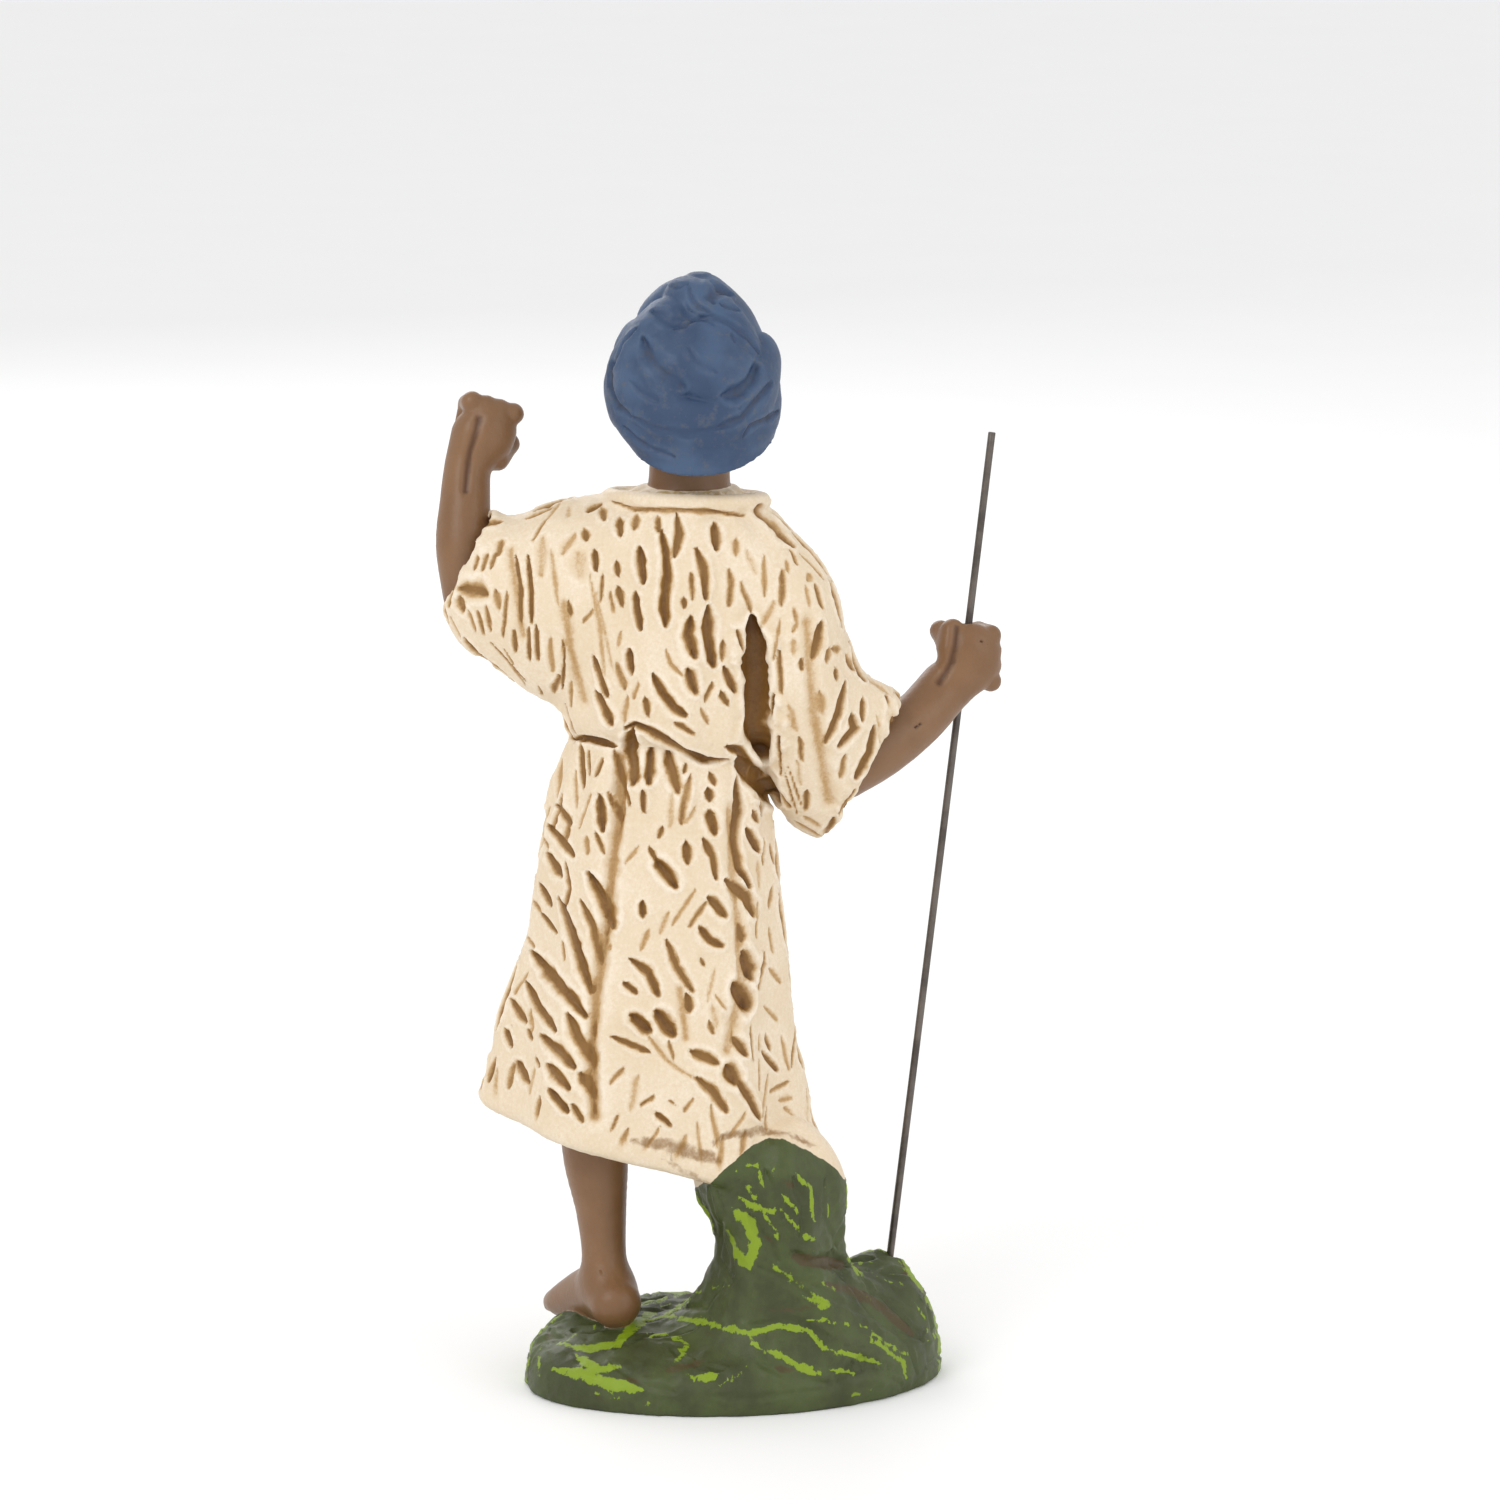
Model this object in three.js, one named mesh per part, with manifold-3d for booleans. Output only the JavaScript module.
// A cast and painted nativity shepherd, about 12 cm tall: a striding herdsman in a turban and a
// fleece tunic, one fist raised, the other round a thin wire staff, on a grassy mound with a stump.
// Millimetres, +Z up. The origin lies under the middle of the mound, and the face looks along -Y,
// so +X is the figure's own left, where the raised fist is.

import * as THREE from 'three';
import { LoftGeometry } from 'three/addons/geometries/LoftGeometry.js';
import { mergeVertices } from 'three/addons/utils/BufferGeometryUtils.js';
import Module from 'manifold-3d';

const wasm = await Module();
wasm.setup();

// Driving dimensions

const MOUND = { halfWidth: 22.8, halfDepth: 17.1, turn: 14, rim: 2.2, crown: 6.5 };
const HEM = { level: 25.4, slope: 0.25, pivotX: 7, waist: 66, hollow: 2.2 };
const BELT = { level: 68.5, riseLeft: 0.2, riseBack: 0.25, reach: 6 };
const HEAD = { x: 4.3, front: 270 };
const STAFF = { radius: 0.4, sides: 12, foot: [ - 16.75, - 6.0, 7.6 ], top: [ - 28.0, - 12.0, 101.6 ], clearance: 0.32 };
const RAISED_FIST = [ 26.4, - 5.4, 103.3 ];
const GRIP_LEVEL = 77.4; // height of the fist on the staff

// Fleece of the tunic: hollows along every second column of points, staggered from one to the next
const FLEECE = { columns: 44, pitch: 7.8, halfLength: 3.9, depth: 1.5, lean: 0.026, from: 28.5, to: 92.5 };

// Tunic rows: [ level, centre x, centre y, half width, half depth ]
const TUNIC = [
	[ 25.4, 7.3, - 0.2, 18.9, 13.2 ],
	[ 27, 7.7, - 0.2, 19.1, 13.4 ],
	[ 30, 8.6, - 0.1, 17.5, 13.1 ],
	[ 34, 8.6, 0.0, 16.6, 12.8 ],
	[ 37, 8.7, 0.1, 16.1, 12.5 ],
	[ 40, 8.7, 0.1, 15.3, 12.2 ],
	[ 47, 8.0, 0.2, 13.9, 11.4 ],
	[ 53, 7.9, 0.3, 13.2, 10.7 ],
	[ 59, 7.8, 0.3, 12.5, 10.0 ],
	[ 63.5, 7.8, 0.3, 11.7, 9.4 ],
	[ 66.4, 7.3, 0.3, 10.9, 8.8 ],
	[ 67.7, 7.0, 0.3, 10.5, 8.3 ],
	[ 68.5, 6.9, 0.3, 10.2, 7.9 ],
	[ 69.3, 6.9, 0.4, 10.7, 8.8 ],
	[ 70.8, 6.9, 0.4, 11.0, 9.3 ],
	[ 74, 6.9, 0.4, 11.4, 9.5 ],
	[ 79, 6.9, 0.3, 11.8, 9.5 ],
	[ 86, 6.3, 0.2, 12.0, 9.2 ],
	[ 91, 5.6, 0.2, 12.0, 8.4 ],
	[ 94, 5.3, 0.3, 10.7, 7.5 ],
	[ 96.2, 5.1, 0.4, 7.3, 6.3 ],
	[ 97.1, 4.7, 0.4, 5.8, 5.4 ],
	[ 97.8, 4.5, 0.4, 5.1, 4.9 ]
];

// Sleeve rows: [ x and z of one edge, x and z of the opposite edge, y of the middle, half depth ]
const LEFT_SLEEVE = [
	[ 9.5, 97.2, 9.5, 78, 0.2, 6.6 ],
	[ 14.2, 96.8, 15, 73.8, 0.1, 7.6 ],
	[ 19, 95.9, 20.4, 74.9, - 0.1, 7.2 ],
	[ 22.3, 94.6, 25.2, 78.1, - 0.4, 6.3 ],
	[ 24.1, 94.4, 28.8, 80.6, - 0.7, 5.4 ],
	[ 25.5, 95.1, 31.0, 84.3, - 1.0, 4.6 ]
];
const RIGHT_SLEEVE = [
	[ - 2.2, 94.9, 3, 88, 0.3, 6.2 ],
	[ - 7.4, 92.0, 0, 82, 0.6, 6.8 ],
	[ - 10.8, 87.2, - 1.6, 76.5, 1.0, 7.0 ],
	[ - 12.2, 82, - 2.6, 70.5, 0.6, 6.8 ],
	[ - 13.9, 77.6, - 4.0, 64.8, - 0.6, 6.2 ],
	[ - 16.5, 75.8, - 6.4, 60.7, - 2.0, 5.5 ],
	[ - 18.4, 74.3, - 10.0, 58.6, - 3.2, 4.7 ]
];

// Turban rows: [ level, centre x, centre y, half width, half depth ]
const TURBAN = [
	[ 101.4, 3.9, 0.6, 4.9, 5.3 ],
	[ 101.9, 3.8, 0.5, 6.9, 6.9 ],
	[ 102.7, 3.8, 0.4, 7.7, 7.7 ],
	[ 104.4, 4.0, 0.1, 8.2, 8.3 ],
	[ 107.4, 4.1, - 0.1, 8.4, 8.7 ],
	[ 110, 4.1, - 0.3, 8.2, 8.6 ],
	[ 111.8, 4.0, - 0.4, 7.8, 8.2 ],
	[ 113.4, 3.8, - 0.5, 7.1, 7.5 ],
	[ 115, 3.7, - 0.5, 6.3, 6.6 ],
	[ 116.6, 3.4, - 0.6, 5.1, 5.4 ],
	[ 118.2, 3.3, - 0.6, 3.6, 4.0 ],
	[ 119.4, 3.4, - 0.6, 2.3, 2.7 ],
	[ 120.2, 3.4, - 0.6, 1.1, 1.2 ]
];
const TURBAN_EDGE = { slope: 0.5, pivotY: 6, upTo: 110, over: 9 };

// Wraps of the turban: half width, height, and a route of [ angle in degrees, level ]
const WRAPS = [
	{ width: 2.0, height: 1.2, route: [ [ 205, 107 ], [ 165, 104.2 ], [ 120, 102.9 ], [ 80, 102.6 ], [ 40, 104.4 ], [ 0, 107.5 ], [ - 45, 109.5 ] ] },
	{ width: 2.6, height: 1.5, route: [ [ 172, 111.4 ], [ 140, 107.6 ], [ 105, 105.8 ], [ 70, 106.6 ], [ 42, 109.2 ], [ 32, 113 ], [ 44, 116 ] ] },
	{ width: 3.6, height: 1.4, route: [ [ 112, 111.6 ], [ 88, 112.6 ], [ 66, 112 ] ] },
	{ width: 1.8, height: 1.2, route: [ [ 30, 116.4 ], [ 12, 113 ], [ 2, 108.5 ], [ 14, 104.6 ] ] },
	{ width: 1.9, height: 1.0, route: [ [ 140, 113.4 ], [ 125, 116.2 ], [ 95, 118.2 ], [ 40, 118.8 ] ] },
	{ width: 2.6, height: 1.3, route: [ [ 200, 104.8 ], [ 215, 110 ], [ 240, 114.5 ], [ 290, 117 ], [ 340, 117 ] ] },
	{ width: 2.3, height: 1.4, route: [ [ 345, 113 ], [ 315, 112 ], [ 280, 112.6 ], [ 240, 110 ], [ 215, 106.5 ] ] },
	{ width: 2.1, height: 1.1, route: [ [ 320, 107.5 ], [ 285, 108.8 ], [ 255, 108.8 ], [ 225, 107.2 ] ] }
];

// Head rows: [ level, offset x, centre y, half width, half depth ]
const HEAD_FORM = [
	[ 97.9, 0, - 5.4, 1.7, 1.9 ],
	[ 98.8, 0, - 4.4, 3.1, 3.6 ],
	[ 100.6, 0, - 3.2, 4.3, 5.1 ],
	[ 103, 0, - 2.4, 4.9, 6.0 ],
	[ 105.6, 0, - 1.9, 5.2, 6.6 ],
	[ 108.5, 0, - 1.5, 5.4, 7.0 ],
	[ 111, 0, - 1.2, 5.0, 6.4 ]
];

// Face relief: [ degrees from the middle, level, half angle in degrees, half height, height ]
const FACE = [
	[ 0, 104.4, 11, 2.4, 0.8 ],
	[ 0, 103.2, 12, 1.0, 1.0 ],
	[ 23, 105.7, 15, 1.0, - 0.6 ],
	[ - 23, 105.7, 15, 1.0, - 0.6 ],
	[ 20, 107.2, 20, 0.9, 0.35 ],
	[ - 20, 107.2, 20, 0.9, 0.35 ],
	[ 0, 101.4, 20, 0.8, 0.5 ],
	[ 0, 99.3, 22, 1.0, 0.45 ],
	[ 38, 103.6, 16, 1.6, 0.4 ],
	[ - 38, 103.6, 16, 1.6, 0.4 ]
];

// Limb rows: [ x, y, z, half size across, half size the other way ]
const LEFT_ARM = [
	[ 27.8, - 1.2, 86, 3.1, 3.1 ],
	[ 28.6, - 1.8, 91, 3.0, 3.0 ],
	[ 28.5, - 3.2, 95.4, 2.7, 2.6 ],
	[ 28.2, - 4.4, 99.2, 2.5, 2.5 ],
	[ 27.4, - 5.2, 102.2, 2.6, 2.6 ]
];
const RIGHT_ARM = [
	[ - 12, - 3.0, 66.6, 3.4, 3.4 ],
	[ - 16, - 4.6, 68.6, 3.2, 3.3 ],
	[ - 20, - 6.8, 71.2, 2.8, 3.0 ],
	[ - 23, - 8.9, 74.2, 2.7, 2.9 ]
];
const LEFT_LEG = [
	[ 15.0, 0.8, 31, 3.9, 4.3 ],
	[ 14.7, 1.4, 24.5, 3.5, 3.8 ],
	[ 14.2, 1.9, 19.5, 2.8, 3.1 ],
	[ 13.9, 2.2, 14.8, 2.4, 2.7 ],
	[ 13.8, 2.4, 11.5, 2.6, 3.2 ]
];
const RIGHT_LEG = [
	[ - 3.2, - 6.4, 32, 4.2, 4.4 ],
	[ - 3.8, - 6.8, 26, 3.6, 3.8 ],
	[ - 4.3, - 5.8, 20, 2.8, 3.1 ],
	[ - 4.6, - 4.8, 16, 2.4, 2.7 ],
	[ - 4.7, - 4.2, 12, 2.9, 3.2 ]
];
const LEFT_FOOT = [
	[ 12.6, 5.3, 9.4, 2.8, 2.7 ],
	[ 13.5, 2.2, 9.8, 3.1, 3.3 ],
	[ 15.2, - 1.6, 8.6, 3.2, 3.0 ],
	[ 16.8, - 5.4, 6.8, 3.5, 2.3 ],
	[ 17.5, - 7.4, 6.2, 3.3, 1.8 ]
];
const RIGHT_FOOT = [
	[ - 4.3, - 1.8, 9.8, 2.6, 2.6 ],
	[ - 4.8, - 4.8, 10.2, 3.1, 3.1 ],
	[ - 5.7, - 8.2, 9.0, 3.2, 2.7 ],
	[ - 6.5, - 10.8, 7.4, 3.5, 2.0 ],
	[ - 6.9, - 12.2, 6.8, 3.3, 1.6 ]
];
const NECK = [
	[ 4.6, 0.6, 93, 4.9, 4.6 ],
	[ 4.5, 0.3, 99, 4.3, 4.2 ],
	[ 4.3, - 0.4, 104, 4.4, 4.4 ]
];

// Stump rows: [ level, centre x, centre y, half width, half depth ]
const STUMP = [
	[ 3, - 5, 3.2, 13.5, 11 ],
	[ 7, - 5.6, 3.8, 11.6, 9.8 ],
	[ 10.5, - 5.6, 4.4, 9.1, 8.6 ],
	[ 12.5, - 5.4, 4.8, 7.8, 8.0 ],
	[ 15, - 5.2, 5.0, 6.7, 7.6 ],
	[ 18, - 5.0, 5.2, 6.8, 7.5 ],
	[ 21, - 4.3, 5.3, 7.7, 7.5 ],
	[ 24, - 4.0, 5.3, 7.8, 7.3 ],
	[ 27.5, - 4.3, 5.2, 5.8, 6.4 ],
	[ 30, - 4.4, 5.0, 3.0, 3.6 ]
];

const PAINTED_CLAY = new THREE.MeshStandardMaterial( { color: 0xe6d6b9, roughness: 0.6, metalness: 0 } );
const STEEL = new THREE.MeshStandardMaterial( { color: 0x5f5b56, roughness: 0.45, metalness: 0.9 } );

// Helpers

const radians = THREE.MathUtils.degToRad;
const clamp = THREE.MathUtils.clamp;

// The same unevenness every time: a number from 0 to 1 for each pair of counts
function uneven( i, k ) {

	const wave = Math.sin( i * 12.9898 + k * 78.233 ) * 43758.5453;
	return wave - Math.floor( wave );

}

// Smooth values between the rows of a table, whose first column says where each row stands
function between( rows, at ) {

	let i = 0;
	while ( i < rows.length - 2 && at > rows[ i + 1 ][ 0 ] ) i ++;
	const [ p, q ] = [ rows[ i ], rows[ i + 1 ] ];
	const before = rows[ Math.max( i - 1, 0 ) ];
	const after = rows[ Math.min( i + 2, rows.length - 1 ) ];
	const span = q[ 0 ] - p[ 0 ];
	const f = clamp( ( at - p[ 0 ] ) / span, 0, 1 );
	return p.slice( 1 ).map( ( _, n ) => {

		const k = n + 1;
		const slopeIn = ( q[ k ] - before[ k ] ) / ( q[ 0 ] - before[ 0 ] ) * span;
		const slopeOut = ( after[ k ] - p[ k ] ) / ( after[ 0 ] - p[ 0 ] ) * span;
		return p[ k ] * ( 2 * f ** 3 - 3 * f ** 2 + 1 ) + slopeIn * ( f ** 3 - 2 * f ** 2 + f )
			+ q[ k ] * ( 3 * f ** 2 - 2 * f ** 3 ) + slopeOut * ( f ** 3 - f ** 2 );

	} );

}

// The same rows, each standing at its share of the way from the first to the last
function spread( rows ) {

	return rows.map( ( row, i ) => [ i / ( rows.length - 1 ), ...row ] );

}

// Evenly spaced numbers from one end to the other
function steps( from, to, count ) {

	return Array.from( { length: count + 1 }, ( _, i ) => from + ( to - from ) * i / count );

}

// A smooth hump of height 1 and a given half width
function bump( distance, halfWidth ) {

	return Math.exp( - 2 * ( distance / halfWidth ) ** 2 );

}

// The shortest turn from one angle to another
function turn( angle, to ) {

	return Math.atan2( Math.sin( angle - to ), Math.cos( angle - to ) );

}

// One ring of points; place( column ) gives each point
function ringOf( sides, place ) {

	return Array.from( { length: sides }, ( _, j ) => place( j ) );

}

// A closed surface over rings of points, from the first ring to the last
function skin( rings ) {

	return new LoftGeometry( rings, { capStart: true, capEnd: true } );

}

// A limb along its rows, with round ends; across is the direction that the first half size measures
function limb( rows, { sides = 10, rings = 4, across = [ 1, 0, 0 ], dome = [ 50 ] } = {} ) {

	const path = new THREE.CatmullRomCurve3( rows.map( ( row ) => new THREE.Vector3( ...row.slice( 0, 3 ) ) ) );
	const sizes = spread( rows.map( ( row ) => row.slice( 3 ) ) );
	const ringAt = ( t, shrink, push ) => {

		const along = path.getTangent( t );
		const u = new THREE.Vector3( ...across );
		u.addScaledVector( along, - u.dot( along ) ).normalize();
		const v = new THREE.Vector3().crossVectors( along, u );
		const [ a, b ] = between( sizes, t );
		const centre = path.getPoint( t ).addScaledVector( along, push * Math.min( a, b ) );
		return ringOf( sides, ( j ) => {

			const angle = j / sides * 2 * Math.PI;
			return centre.clone()
				.addScaledVector( u, Math.cos( angle ) * a * shrink )
				.addScaledVector( v, Math.sin( angle ) * b * shrink );

		} );

	};

	const tiers = dome.map( radians );
	return skin( [
		...tiers.map( ( e ) => ringAt( 0, Math.sin( e ), - Math.cos( e ) ) ),
		...steps( 0, 1, rings ).map( ( t ) => ringAt( t, 1, 0 ) ),
		...tiers.toReversed().map( ( e ) => ringAt( 1, Math.sin( e ), Math.cos( e ) ) )
	] );

}

// A three.js geometry as a solid that can be joined and cut
function solid( geometry ) {

	const bare = new THREE.BufferGeometry().copy( geometry );
	bare.deleteAttribute( 'normal' );
	bare.deleteAttribute( 'uv' );
	const merged = mergeVertices( bare, 1e-4 );
	return new wasm.Manifold( new wasm.Mesh( {
		numProp: 3,
		vertProperties: merged.attributes.position.array,
		triVerts: new Uint32Array( merged.index.array )
	} ) );

}

// A solid back as a three.js geometry
function geometryOf( body ) {

	const mesh = body.getMesh();
	const made = new THREE.BufferGeometry();
	made.setAttribute( 'position', new THREE.BufferAttribute( mesh.vertProperties, 3 ) );
	made.setIndex( new THREE.BufferAttribute( mesh.triVerts, 1 ) );
	made.computeVertexNormals();
	return made;

}

// Tunic

// How deep the fleece is cut in one column at a level: a run of hollows with smooth ends
function fleeceDepth( column, level, seed, { pitch, halfLength, depth } ) {

	const start = ( column % 2 ) * 0.5 * pitch;
	const nearest = Math.round( ( level - start ) / pitch );
	const cuts = [ nearest - 1, nearest, nearest + 1 ].map( ( row ) => {

		const mark = seed + row * 61 + column;
		if ( uneven( mark, 1 ) < 0.12 ) return 0;
		const middle = start + ( row + 0.5 * uneven( mark, 2 ) - 0.25 ) * pitch;
		const reach = halfLength * ( 0.75 + 0.5 * uneven( mark, 3 ) );
		const inside = 1 - ( ( level - middle ) / reach ) ** 2;
		return inside > 0 ? depth * ( 0.55 + 0.45 * uneven( mark, 4 ) ) * Math.sqrt( inside ) : 0;

	} );
	return Math.max( ...cuts );

}

// Soft folds that deepen towards the hem, a thigh that pushes the front out, and the gathered waist
function tunicFolds( hang, angle ) {

	const fall = 0.8 * hang * Math.sin( 7 * angle + 0.9 * Math.sin( 2 * angle ) );
	const thigh = 2.4 * bump( turn( angle, radians( 238 ) ), 0.55 ) * bump( hang - 0.8, 0.5 );
	const pleats = 0.35 * bump( hang - 0.05, 0.1 ) * Math.sin( 15 * angle );
	return fall + thigh + pleats;

}

// The wall of the tunic at a level and an angle, cut in by a depth
function tunicPoint( level, angle, cut ) {

	const [ cx, cy, halfWidth, halfDepth ] = between( TUNIC, level );
	const hang = clamp( ( HEM.waist - level ) / ( HEM.waist - HEM.level ), 0, 1 );
	const swell = tunicFolds( hang, angle ) - cut;
	const x = cx + ( halfWidth + swell ) * Math.cos( angle );
	const y = cy + ( halfDepth + swell ) * Math.sin( angle );
	const belt = bump( level - BELT.level, BELT.reach ) * ( BELT.riseLeft * ( x - cx ) + BELT.riseBack * y );
	return new THREE.Vector3( x, y, level + HEM.slope * hang * ( x - HEM.pivotX ) + belt );

}

function tunic() {

	const levels = [ HEM.level, 26.6, ...steps( 29.2, 64.8, 12 ), 66.6, 67.8, 68.5, 69.2, 70.8, ...steps( 73.4, 93, 7 ), 95.2, 96.6, 97.8 ];
	const wall = levels.map( ( level ) => ringOf( FLEECE.columns, ( j ) => {

		const lean = FLEECE.lean * ( level < HEM.waist ? HEM.waist - level : 0.2 * ( HEM.waist - level ) );
		const angle = j / FLEECE.columns * 2 * Math.PI + lean;
		const covered = level >= FLEECE.from && level <= FLEECE.to && Math.abs( level - BELT.level ) > 1;
		const cut = covered && j % 2 ? fleeceDepth( ( j - 1 ) / 2, level, 7, FLEECE ) : 0;
		return tunicPoint( level, angle, cut );

	} ) );
	const [ , cx, cy ] = TUNIC[ 0 ];
	const under = ( share, lift ) => wall[ 0 ].map( ( p ) => new THREE.Vector3(
		cx + ( p.x - cx ) * share, cy + ( p.y - cy ) * share, p.z + lift ) );
	return skin( [
		under( 0.7, HEM.hollow - 0.2 ), under( 0.82, HEM.hollow ), under( 0.93, - 0.2 ),
		...wall
	] );

}

// A sleeve over its rows. Its grooves run round it when ringed, otherwise along it, and a shallow
// hollow in its mouth leaves a lip of cloth round the arm
function sleeve( rows, { sides, rings, ringed, seed, side } ) {

	const table = spread( rows );
	const point = ( t, angle, share, cut ) => {

		const [ x1, z1, x2, z2, y, halfDepth ] = between( table, Math.min( t, 1 ) );
		const half = Math.hypot( x1 - x2, z1 - z2 ) / 2;
		const up = new THREE.Vector3( x1 - x2, 0, z1 - z2 ).divideScalar( 2 * half );
		const out = new THREE.Vector3( side * up.z, 0, - side * up.x );
		return new THREE.Vector3( ( x1 + x2 ) / 2, y, ( z1 + z2 ) / 2 )
			.addScaledVector( out, Math.max( 0, t - 1 ) * 10 )
			.addScaledVector( up, Math.cos( angle ) * ( half * share - cut ) )
			.add( new THREE.Vector3( 0, - side * Math.sin( angle ) * ( halfDepth * share - cut ), 0 ) );

	};

	const ringAt = ( t, share, i ) => ringOf( sides, ( j ) => {

		const groove = ringed ? { pitch: 9, halfLength: 3.6, depth: 0.75 } : { pitch: 0.34, halfLength: 0.16, depth: 0.9 };
		const valley = ( ringed ? i : j ) % 2 === 1;
		const run = ringed ? fleeceDepth( i, j, seed, groove ) : fleeceDepth( ( j - 1 ) / 2, t, seed, groove );
		return point( t, j / sides * 2 * Math.PI, share, valley && i < rings - 1 ? run : 0 );

	} );
	return skin( [
		...steps( 0, 1, rings ).map( ( t, i ) => ringAt( t, 1, i ) ),
		ringAt( 1.03, 0.9, rings ), ringAt( 0.95, 0.75, rings ), ringAt( 0.96, 0.6, rings )
	] );

}

// Head

function turbanPoint( level, angle ) {

	const [ cx, cy, halfWidth, halfDepth ] = between( TURBAN, level );
	const y = cy + halfDepth * Math.sin( angle );
	const lowness = clamp( ( TURBAN_EDGE.upTo - level ) / TURBAN_EDGE.over, 0, 1 );
	const z = level - TURBAN_EDGE.slope * lowness * ( y - TURBAN_EDGE.pivotY );
	return new THREE.Vector3( cx + halfWidth * Math.cos( angle ), y, z );

}

// A swelling form with rolls of cloth wound over it
function turban() {

	const rolls = WRAPS.map( ( wrap ) => {

		const route = wrap.route.map( ( [ degrees, level ] ) => turbanPoint( level, radians( degrees ) ) );
		return { ...wrap, points: new THREE.CatmullRomCurve3( route ).getPoints( 40 ) };

	} );
	const heart = new THREE.Vector3( 4, - 0.5, 108 );
	const levels = [ 101.4, 102, 103, ...steps( 104.2, 118.2, 11 ), 119.4, 120.2 ];
	const sides = 32;
	return skin( levels.map( ( level ) => ringOf( sides, ( j ) => {

		const p = turbanPoint( level, j / sides * 2 * Math.PI );
		const lifts = rolls.map( ( roll ) => {

			const off = Math.min( ...roll.points.map( ( q ) => q.distanceTo( p ) ) ) / roll.width;
			return off < 1 ? roll.height * Math.sqrt( 1 - off * off ) : 0;

		} );
		return p.addScaledVector( p.clone().sub( heart ).normalize(), Math.max( ...lifts ) );

	} ) ) );

}

function face() {

	const levels = [ 97.9, ...steps( 98.7, 107.8, 9 ), 110 ];
	const sides = 20;
	return skin( levels.map( ( level ) => ringOf( sides, ( j ) => {

		const angle = j / sides * 2 * Math.PI;
		const [ cx, cy, halfWidth, halfDepth ] = between( HEAD_FORM, level );
		const relief = FACE.reduce( ( sum, [ at, height, halfAngle, halfHeight, amount ] ) => {

			const across = bump( turn( angle, radians( HEAD.front + at ) ), radians( halfAngle ) );
			return sum + amount * across * bump( level - height, halfHeight );

		}, 0 );
		return new THREE.Vector3(
			HEAD.x + cx + ( halfWidth + relief ) * Math.cos( angle ),
			cy + ( halfDepth + relief ) * Math.sin( angle ),
			level );

	} ) ) );

}

// Hands

// A fist round a grip: a roll with four finger crests on its outer side and a thumb closed over it
function fist( centre, grip, back, size ) {

	const g = new THREE.Vector3( ...grip ).normalize();
	const b = new THREE.Vector3( ...back );
	b.addScaledVector( g, - b.dot( g ) ).normalize();
	const side = new THREE.Vector3().crossVectors( g, b );
	const at = ( along, angle, radius ) => centre.clone()
		.addScaledVector( g, along * size )
		.addScaledVector( b, Math.cos( angle ) * radius * size )
		.addScaledVector( side, Math.sin( angle ) * radius * size );

	// Rings: [ distance along the grip, radius, how deep the groove between two fingers is ]
	const rings = [
		[ - 3.5, 1.6, 0 ], [ - 3.2, 2.6, 0 ], [ - 2.4, 3.2, 0 ], [ - 1.65, 3.2, 0.6 ], [ - 0.8, 3.4, 0 ], [ 0, 3.3, 0.6 ],
		[ 0.8, 3.4, 0 ], [ 1.65, 3.2, 0.6 ], [ 2.4, 3.2, 0 ], [ 3.2, 2.6, 0 ], [ 3.5, 1.6, 0 ]
	];
	const sides = 12;
	const roll = skin( rings.map( ( [ along, radius, groove ] ) => ringOf( sides, ( j ) => {

		const angle = j / sides * 2 * Math.PI;
		const fingers = clamp( 1.2 - Math.abs( turn( angle, radians( 135 ) ) ) / radians( 100 ), 0, 1 );
		return at( along, angle, radius * ( 1 + 0.08 * Math.cos( 4 * angle ) ) - groove * fingers );

	} ) ) );
	const row = ( along, degrees, radius, half ) => [ ...at( along, radians( degrees ), radius ).toArray(), half * size, half * size ];
	const thumb = limb( [ row( 2.0, - 30, 2.2, 1.3 ), row( 2.3, - 80, 2.6, 1.2 ), row( 1.4, - 130, 2.9, 1.0 ) ],
		{ sides: 7, rings: 2, across: g.toArray() } );
	return [ roll, thumb ];

}

// Feet

// A bare foot laid along the ground, with five toes that shorten away from the big one
function foot( rows, bigToeSide ) {

	const [ ball, tip ] = [ rows.at( - 2 ), rows.at( - 1 ) ].map( ( row ) => new THREE.Vector3( ...row.slice( 0, 3 ) ) );
	const ahead = tip.clone().sub( ball ).normalize();
	const across = new THREE.Vector3( - ahead.y, ahead.x, 0 ).normalize();
	const toes = [ - 2.3, - 0.9, 0.3, 1.4, 2.4 ].map( ( offset, i ) => {

		const thick = i ? 0.95 - 0.06 * i : 1.3;
		const root = tip.clone().addScaledVector( across, - bigToeSide * offset ).addScaledVector( ahead, 0.4 );
		const end = root.clone().addScaledVector( ahead, 2.0 - 0.4 * i );
		return limb( [ [ ...root.toArray(), thick, thick ], [ ...end.toArray(), thick, thick * 0.9 ] ],
			{ sides: 5, rings: 1 } );

	} );
	return [ limb( rows, { sides: 10 } ), ...toes ];

}

// Ground

// Height of the grassy top at a place, before it falls away at the rim
function moundHeight( x, y ) {

	const bank = 4.8 * bump( x + 17, 9 ) * bump( y + 5, 14 );
	const saddle = 2.2 * bump( x + 13, 4.5 ) * bump( y + 1, 8 );
	const root = 1.8 * bump( x + 6, 9 ) * bump( y - 3, 11 );
	const step = 2.4 * bump( x - 19, 7 ) * bump( y + 3, 10 );
	const tussocks = 0.3 * Math.sin( 0.55 * x + 0.3 * y ) + 0.25 * Math.sin( 0.9 * y - 0.35 * x + 1 );
	return MOUND.crown + bank + saddle + root + step + tussocks;

}

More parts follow.
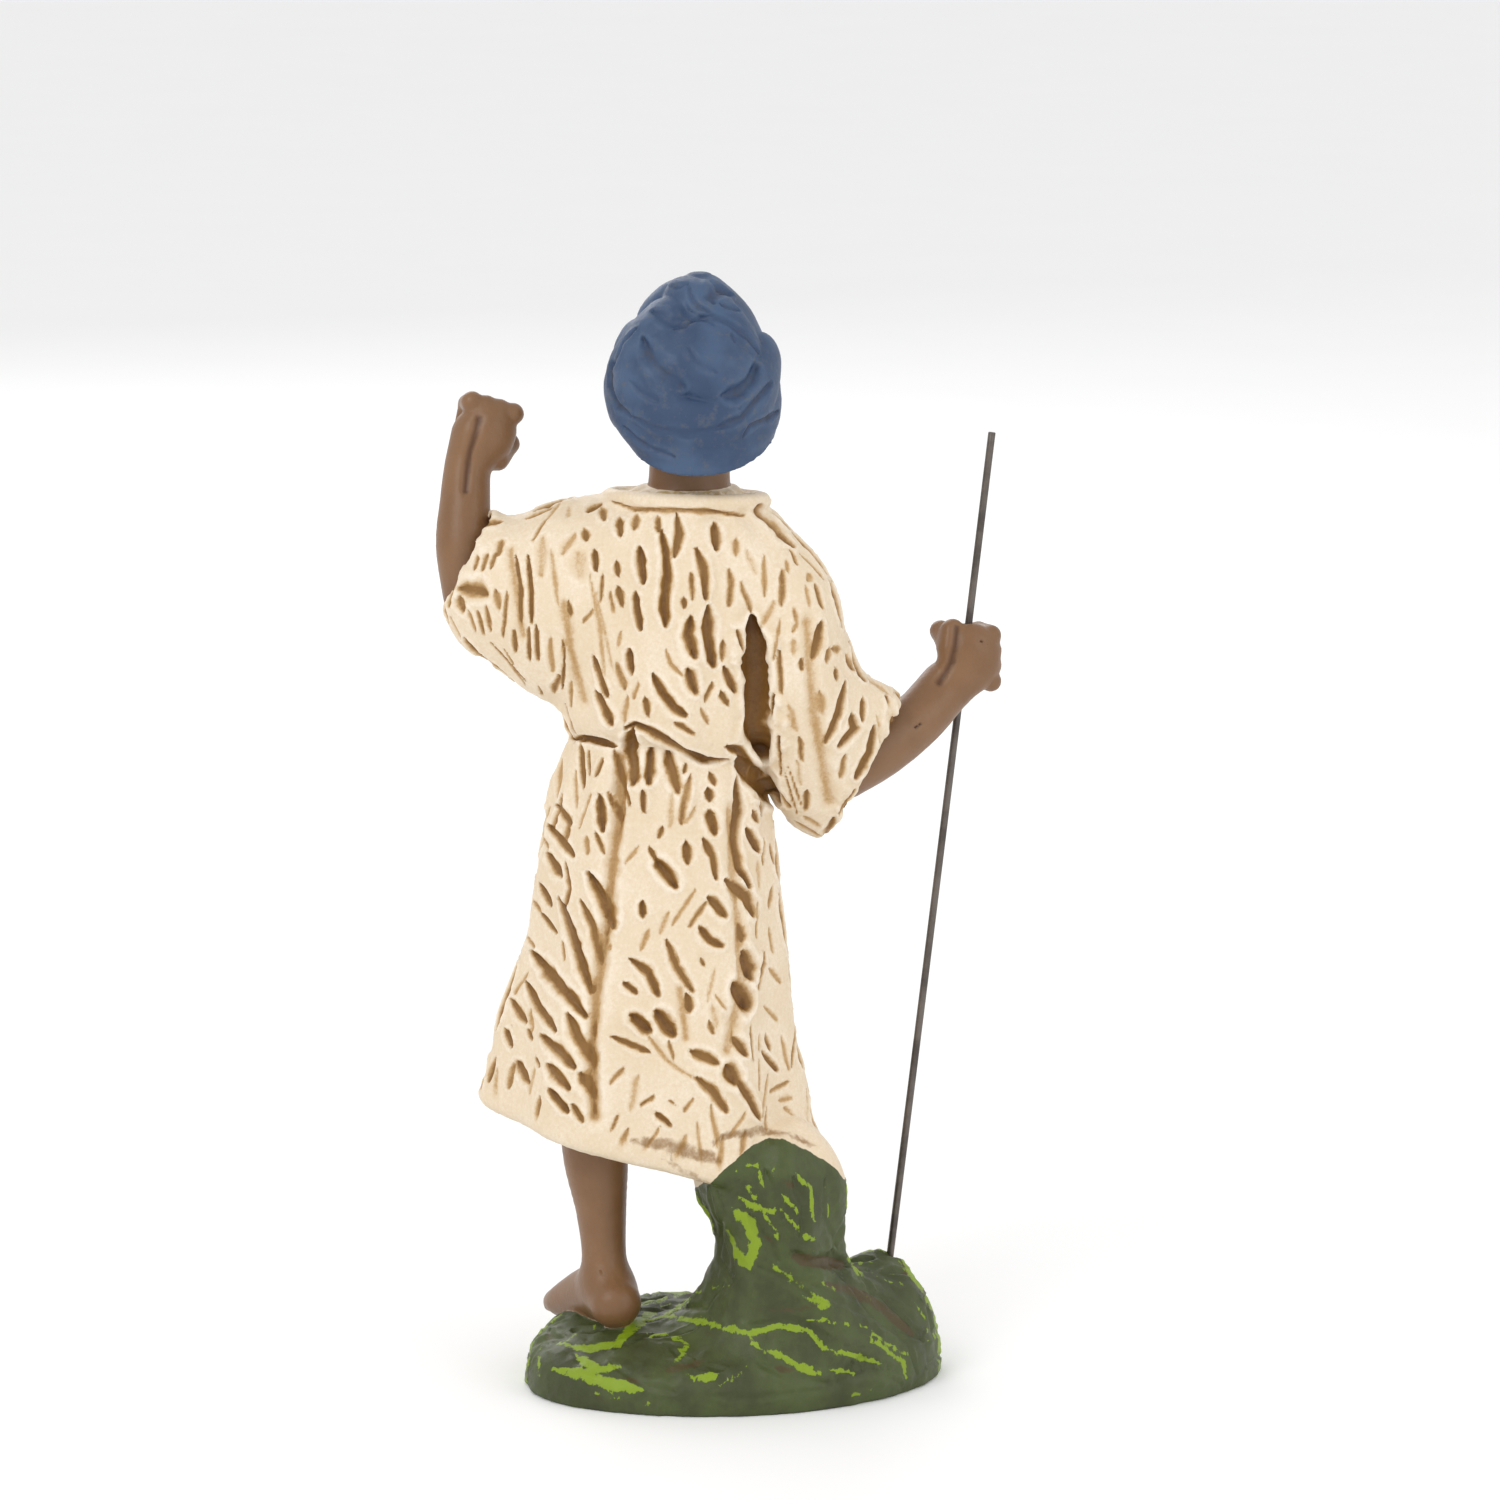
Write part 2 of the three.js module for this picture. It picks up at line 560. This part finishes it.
// The rings run up the rim and over the top; the bank on the right is steeper than the rest
function mound() {

	const rings = [ [ 0.95, 0 ], [ 1, 0.8 ], [ 1, MOUND.rim ], [ 0.98 ], [ 0.94 ], [ 0.87 ], [ 0.74 ], [ 0.55 ], [ 0.28 ] ];
	const sides = 32;
	return skin( rings.map( ( [ share, height ] ) => ringOf( sides, ( j ) => {

		const angle = j / sides * 2 * Math.PI;
		const lobe = 1 + 0.012 * Math.sin( 3 * angle + 0.5 ) + 0.008 * Math.sin( 5 * angle );
		const p = new THREE.Vector2( MOUND.halfWidth * Math.cos( angle ), MOUND.halfDepth * Math.sin( angle ) )
			.multiplyScalar( share * lobe )
			.rotateAround( new THREE.Vector2(), radians( MOUND.turn ) );
		const steepness = 3.4 + 11 * bump( turn( angle, radians( 180 ) ), 0.9 );
		const fall = Math.sqrt( 1 - share ** steepness );
		const top = moundHeight( p.x, p.y ) + 1 - share;
		return new THREE.Vector3( p.x, p.y, height ?? MOUND.rim + ( top - MOUND.rim ) * fall );

	} ) ) );

}

// The stump that props the skirt from behind, with shallow grooves in its bark
function stump() {

	const sides = 18;
	return skin( [ 4, 7.5, 10, ...steps( 12.5, 27, 5 ), 28.6, 30 ].map( ( level ) => ringOf( sides, ( j ) => {

		const angle = j / sides * 2 * Math.PI;
		const [ cx, cy, halfWidth, halfDepth ] = between( STUMP, level );
		const groove = 0.35 * Math.sin( 6 * angle + 0.12 * level );
		return new THREE.Vector3( cx + ( halfWidth + groove ) * Math.cos( angle ), cy + ( halfDepth + groove ) * Math.sin( angle ), level );

	} ) ) );

}

// Staff

// A straight round bar from one point to another
function bar( from, to, radius ) {

	const made = new THREE.CylinderGeometry( radius, radius, from.distanceTo( to ), STAFF.sides );
	made.applyQuaternion( new THREE.Quaternion().setFromUnitVectors( THREE.Object3D.DEFAULT_UP, to.clone().sub( from ).normalize() ) );
	const middle = from.clone().add( to ).multiplyScalar( 0.5 );
	return made.translate( ...middle.toArray() );

}

// Assembly

const staffFoot = new THREE.Vector3( ...STAFF.foot );
const staffTop = new THREE.Vector3( ...STAFF.top );
const staffLean = staffTop.clone().sub( staffFoot ).normalize();
const grip = staffFoot.clone().lerp( staffTop, ( GRIP_LEVEL - STAFF.foot[ 2 ] ) / ( STAFF.top[ 2 ] - STAFF.foot[ 2 ] ) );

function figure() {

	const shapes = [
		mound(), stump(), tunic(),
		sleeve( LEFT_SLEEVE, { sides: 20, rings: 12, ringed: true, seed: 300, side: 1 } ),
		sleeve( RIGHT_SLEEVE, { sides: 22, rings: 9, ringed: false, seed: 500, side: - 1 } ),
		limb( NECK, { sides: 12, rings: 2 } ), face(), turban(),
		limb( LEFT_ARM ), ...fist( new THREE.Vector3( ...RAISED_FIST ), [ 0, - 1, 0.1 ], [ 1, 0, 0.3 ], 1.03 ),
		limb( RIGHT_ARM, { across: [ 0, 1, 0 ] } ), ...fist( grip, staffLean.toArray(), [ 0.5, 1, 0 ], 1.12 ),
		limb( LEFT_LEG ), ...foot( LEFT_FOOT, - 1 ),
		limb( RIGHT_LEG ), ...foot( RIGHT_FOOT, 1 )
	];
	const hole = bar(
		staffFoot.clone().addScaledVector( staffLean, - STAFF.clearance ),
		staffTop.clone().addScaledVector( staffLean, 2 ),
		STAFF.radius + STAFF.clearance );
	const joined = shapes.map( solid ).reduce( ( whole, piece ) => whole.add( piece ) );
	return geometryOf( joined.subtract( solid( hole ) ) );

}

function named( name, geometry, material ) {

	const mesh = new THREE.Mesh( geometry, material );
	mesh.name = name;
	return mesh;

}

const shepherd = new THREE.Group();
shepherd.add( named( 'figure', figure(), PAINTED_CLAY ) );
shepherd.add( named( 'staff', bar( staffFoot, staffTop, STAFF.radius ), STEEL ) );

export default shepherd;
